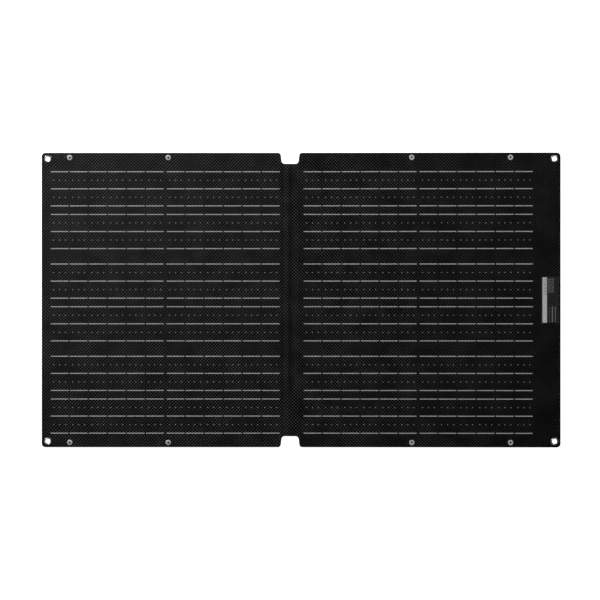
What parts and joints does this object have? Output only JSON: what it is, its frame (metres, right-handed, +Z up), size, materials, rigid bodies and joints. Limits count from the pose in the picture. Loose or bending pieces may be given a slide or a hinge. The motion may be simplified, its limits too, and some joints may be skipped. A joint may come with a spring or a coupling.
{
  "type": "folding solar blanket",
  "caption": "Two flat solar leaves joined by a soft hinge web, with corner eyelets, edge snaps and a rear junction box; it folds in half face to face.",
  "frame": {"origin": "centre of the open blanket's outline, on the floor it lies on", "axes": "+X across both leaves from the left leaf to the right, +Y along the fold line, +Z up out of the solar face"},
  "size_m": [1.0882, 0.618, 0.0212],
  "materials": {
    "textured_film": "clear fluoropolymer film with a fine raised diamond texture",
    "clear_encapsulant": "clear laminating layer",
    "black_encapsulant": "black laminating layer",
    "silicon": "blue-black anti-reflection coat with fine silver fingers",
    "tinned_ribbon": "tinned copper, satin",
    "glass_fibre_board": "black glass-fibre laminate",
    "rear_fabric": "black coated woven fabric",
    "nickel": "nickel-plated brass, polished",
    "spring_wire": "spring wire",
    "label_stock": "dark printed label with a satin overlay",
    "box_plastic": "fine spark-eroded moulding",
    "seal_rubber": "soft black rubber",
    "bonding_pad": "black foam adhesive",
    "screw_steel": "zinc-plated steel",
    "circuit_laminate": "green solder mask",
    "component_body": "black moulding compound",
    "contact_metal": "gold-coloured plating",
    "wire_jacket": "silicone wire jacket",
    "socket_metal": "black anodised"
  },
  "bodies": {
    "left_leaf": {"left_cells": "silicon", "left_cell_ribbons": "tinned_ribbon", "left_bus_ribbons": "tinned_ribbon", "left_hinge_leads": "tinned_ribbon", "left_front_film": "textured_film", "left_front_encapsulant": "clear_encapsulant", "left_rear_encapsulant": "black_encapsulant", "left_backing_board": "glass_fibre_board", "left_rear_cover": "rear_fabric", "left_eyelets": "nickel", "left_eyelet_washers": "nickel", "snap_studs": "nickel", "snap_stud_posts": "nickel"},
    "right_leaf": {"right_cells": "silicon", "right_cell_ribbons": "tinned_ribbon", "right_bus_ribbons": "tinned_ribbon", "right_hinge_leads": "tinned_ribbon", "right_front_film": "textured_film", "right_front_encapsulant": "clear_encapsulant", "right_rear_encapsulant": "black_encapsulant", "right_backing_board": "glass_fibre_board", "right_rear_cover": "rear_fabric", "right_eyelets": "nickel", "right_eyelet_washers": "nickel", "snap_sockets": "nickel", "snap_socket_springs": "spring_wire", "snap_socket_posts": "nickel", "rating_label": "label_stock", "lead_outs": "tinned_ribbon", "box_pad": "bonding_pad", "box_base": "box_plastic", "box_gasket": "seal_rubber", "box_lid": "box_plastic", "lid_screws": "screw_steel", "circuit_board": "circuit_laminate", "board_screws": "screw_steel", "blocking_diodes": "component_body", "terminal_tabs": "tinned_ribbon", "output_wires": "wire_jacket", "socket_shell": "socket_metal", "socket_nut": "socket_metal", "socket_insert": "component_body", "socket_contacts": "contact_metal"}
  },
  "joints": [
    {"name": "leaf_fold", "type": "hinge", "parent": "left_leaf", "child": "right_leaf", "pos_m": [-0.02285, 0, 0.0055], "axis": [0, -1, 0], "range_deg": [-1.68, 178.32]}
  ]
}
